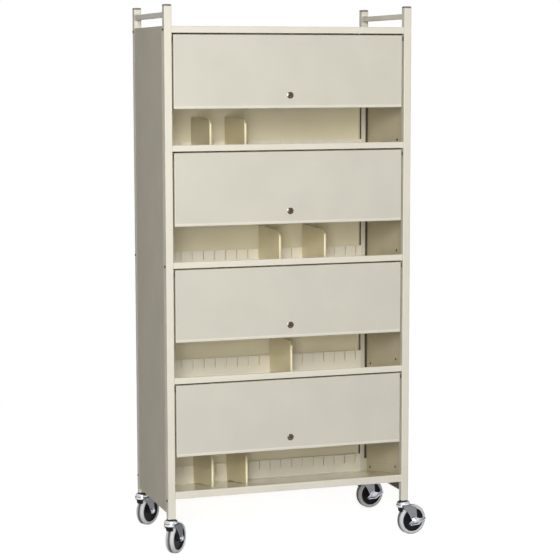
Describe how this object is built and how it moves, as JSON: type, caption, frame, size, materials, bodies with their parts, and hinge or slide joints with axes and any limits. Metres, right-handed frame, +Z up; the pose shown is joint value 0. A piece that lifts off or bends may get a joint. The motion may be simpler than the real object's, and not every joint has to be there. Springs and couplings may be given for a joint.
{
  "type": "mobile medical chart rack",
  "caption": "Tall rolling steel chart rack with sloped shelves, lift-out dividers, flip-up locking panels that slide back into each bay, side handle bars and swivel casters.",
  "frame": {"origin": "on the floor under the middle of the whole part, casters included", "axes": "+Z up, front of the rack towards -Y, +X to the right seen from the front"},
  "size_m": [0.9272, 0.482, 1.7799],
  "materials": {
    "putty_paint": "satin powder coat",
    "dark_plastic": "fine texture",
    "chrome": "bright plated",
    "zinc_steel": "zinc plated",
    "black_hub": "moulded",
    "grey_rubber": "non-marking tyre"
  },
  "bodies": {
    "rack": {"post_front_left": "putty_paint", "post_cap_front_left": "dark_plastic", "caster_stem_front_left": "dark_plastic", "post_front_right": "putty_paint", "post_cap_front_right": "dark_plastic", "caster_stem_front_right": "dark_plastic", "post_rear_left": "putty_paint", "post_cap_rear_left": "dark_plastic", "caster_stem_rear_left": "dark_plastic", "post_rear_right": "putty_paint", "post_cap_rear_right": "dark_plastic", "caster_stem_rear_right": "dark_plastic", "handle_bar_left": "putty_paint", "handle_bar_right": "putty_paint", "side_panel_left": "putty_paint", "side_panel_right": "putty_paint", "top_panel": "putty_paint", "back_panel": "putty_paint", "shelf_1": "putty_paint", "door_track_1": "zinc_steel", "shelf_2": "putty_paint", "door_track_2": "zinc_steel", "shelf_3": "putty_paint", "door_track_3": "zinc_steel", "shelf_4": "putty_paint", "door_track_4": "zinc_steel"},
    "carriage_1": {"door_carriage_1": "zinc_steel"},
    "door_1": {"door_1": "putty_paint"},
    "lock_1": {"lock_1": "zinc_steel"},
    "carriage_2": {"door_carriage_2": "zinc_steel"},
    "door_2": {"door_2": "putty_paint"},
    "lock_2": {"lock_2": "zinc_steel"},
    "carriage_3": {"door_carriage_3": "zinc_steel"},
    "door_3": {"door_3": "putty_paint"},
    "lock_3": {"lock_3": "zinc_steel"},
    "carriage_4": {"door_carriage_4": "zinc_steel"},
    "door_4": {"door_4": "putty_paint"},
    "lock_4": {"lock_4": "zinc_steel"},
    "divider_1": {"divider_1": "putty_paint"},
    "divider_2": {"divider_2": "putty_paint"},
    "divider_3": {"divider_3": "putty_paint"},
    "divider_4": {"divider_4": "putty_paint"},
    "divider_5": {"divider_5": "putty_paint"},
    "divider_6": {"divider_6": "putty_paint"},
    "divider_7": {"divider_7": "putty_paint"},
    "fork_front_left": {"caster_fork_front_left": "chrome"},
    "wheel_front_left": {"caster_hub_front_left": "black_hub", "caster_tyre_front_left": "grey_rubber"},
    "fork_front_right": {"caster_fork_front_right": "chrome"},
    "wheel_front_right": {"caster_hub_front_right": "black_hub", "caster_tyre_front_right": "grey_rubber"},
    "lever_front_right": {"brake_lever_front_right": "chrome"},
    "fork_rear_left": {"caster_fork_rear_left": "chrome"},
    "wheel_rear_left": {"caster_hub_rear_left": "black_hub", "caster_tyre_rear_left": "grey_rubber"},
    "fork_rear_right": {"caster_fork_rear_right": "chrome"},
    "wheel_rear_right": {"caster_hub_rear_right": "black_hub", "caster_tyre_rear_right": "grey_rubber"},
    "lever_rear_right": {"brake_lever_rear_right": "chrome"}
  },
  "joints": [
    {"name": "carriage_slide_1", "type": "slide", "parent": "rack", "child": "carriage_1", "axis": [0, 0.9903, -0.1392], "range_m": [0, 0.222]},
    {"name": "door_flip_1", "type": "hinge", "parent": "carriage_1", "child": "door_1", "pos_m": [-0.02669, -0.21304, 1.6736], "axis": [-1, 0, 0], "range_deg": [0, 98]},
    {"name": "lock_turn_1", "type": "hinge", "parent": "door_1", "child": "lock_1", "pos_m": [-0.02669, -0.22104, 1.4916], "axis": [0, 1, 0], "range_deg": [0, 90]},
    {"name": "carriage_slide_2", "type": "slide", "parent": "rack", "child": "carriage_2", "axis": [0, 0.9903, -0.1392], "range_m": [0, 0.222]},
    {"name": "door_flip_2", "type": "hinge", "parent": "carriage_2", "child": "door_2", "pos_m": [-0.02669, -0.21304, 1.2986], "axis": [-1, 0, 0], "range_deg": [0, 98]},
    {"name": "lock_turn_2", "type": "hinge", "parent": "door_2", "child": "lock_2", "pos_m": [-0.02669, -0.22104, 1.1166], "axis": [0, 1, 0], "range_deg": [0, 90]},
    {"name": "carriage_slide_3", "type": "slide", "parent": "rack", "child": "carriage_3", "axis": [0, 0.9903, -0.1392], "range_m": [0, 0.222]},
    {"name": "door_flip_3", "type": "hinge", "parent": "carriage_3", "child": "door_3", "pos_m": [-0.02669, -0.21304, 0.9236], "axis": [-1, 0, 0], "range_deg": [0, 98]},
    {"name": "lock_turn_3", "type": "hinge", "parent": "door_3", "child": "lock_3", "pos_m": [-0.02669, -0.22104, 0.7416], "axis": [0, 1, 0], "range_deg": [0, 90]},
    {"name": "carriage_slide_4", "type": "slide", "parent": "rack", "child": "carriage_4", "axis": [0, 0.9903, -0.1392], "range_m": [0, 0.222]},
    {"name": "door_flip_4", "type": "hinge", "parent": "carriage_4", "child": "door_4", "pos_m": [-0.02669, -0.21304, 0.5486], "axis": [-1, 0, 0], "range_deg": [0, 98]},
    {"name": "lock_turn_4", "type": "hinge", "parent": "door_4", "child": "lock_4", "pos_m": [-0.02669, -0.22104, 0.3666], "axis": [0, 1, 0], "range_deg": [0, 90]},
    {"name": "divider_lift_1", "type": "slide", "parent": "rack", "child": "divider_1", "axis": [0, 0, 1], "range_m": [0, 0.06]},
    {"name": "divider_lift_2", "type": "slide", "parent": "rack", "child": "divider_2", "axis": [0, 0, 1], "range_m": [0, 0.06]},
    {"name": "divider_lift_3", "type": "slide", "parent": "rack", "child": "divider_3", "axis": [0, 0, 1], "range_m": [0, 0.06]},
    {"name": "divider_lift_4", "type": "slide", "parent": "rack", "child": "divider_4", "axis": [0, 0, 1], "range_m": [0, 0.06]},
    {"name": "divider_lift_5", "type": "slide", "parent": "rack", "child": "divider_5", "axis": [0, 0, 1], "range_m": [0, 0.06]},
    {"name": "divider_lift_6", "type": "slide", "parent": "rack", "child": "divider_6", "axis": [0, 0, 1], "range_m": [0, 0.06]},
    {"name": "divider_lift_7", "type": "slide", "parent": "rack", "child": "divider_7", "axis": [0, 0, 1], "range_m": [0, 0.06]},
    {"name": "swivel_front_left", "type": "hinge", "parent": "rack", "child": "fork_front_left", "pos_m": [-0.43419, -0.21154, 0.118], "axis": [0, 0, 1], "continuous": true},
    {"name": "wheel_front_left", "type": "hinge", "parent": "fork_front_left", "child": "wheel_front_left", "pos_m": [-0.41236, -0.18813, 0.051], "axis": [-0.7314, 0.682, 0], "continuous": true},
    {"name": "swivel_front_right", "type": "hinge", "parent": "rack", "child": "fork_front_right", "pos_m": [0.38081, -0.21154, 0.118], "axis": [0, 0, 1], "continuous": true},
    {"name": "wheel_front_right", "type": "hinge", "parent": "fork_front_right", "child": "wheel_front_right", "pos_m": [0.41232, -0.20598, 0.051], "axis": [-0.1736, 0.9848, 0], "continuous": true},
    {"name": "brake_front_right", "type": "hinge", "parent": "fork_front_right", "child": "lever_front_right", "pos_m": [0.41232, -0.20598, 0.051], "axis": [-0.1736, 0.9848, 0], "range_deg": [-15, 15]},
    {"name": "swivel_rear_left", "type": "hinge", "parent": "rack", "child": "fork_rear_left", "pos_m": [-0.43419, 0.18346, 0.118], "axis": [0, 0, 1], "continuous": true},
    {"name": "wheel_rear_left", "type": "hinge", "parent": "fork_rear_left", "child": "wheel_rear_left", "pos_m": [-0.40897, 0.20316, 0.051], "axis": [-0.6157, 0.788, 0], "continuous": true},
    {"name": "swivel_rear_right", "type": "hinge", "parent": "rack", "child": "fork_rear_right", "pos_m": [0.38081, 0.18346, 0.118], "axis": [0, 0, 1], "continuous": true},
    {"name": "wheel_rear_right", "type": "hinge", "parent": "fork_rear_right", "child": "wheel_rear_right", "pos_m": [0.41222, 0.18957, 0.051], "axis": [-0.1908, 0.9816, 0], "continuous": true},
    {"name": "brake_rear_right", "type": "hinge", "parent": "fork_rear_right", "child": "lever_rear_right", "pos_m": [0.41222, 0.18957, 0.051], "axis": [-0.1908, 0.9816, 0], "range_deg": [-15, 15]}
  ]
}
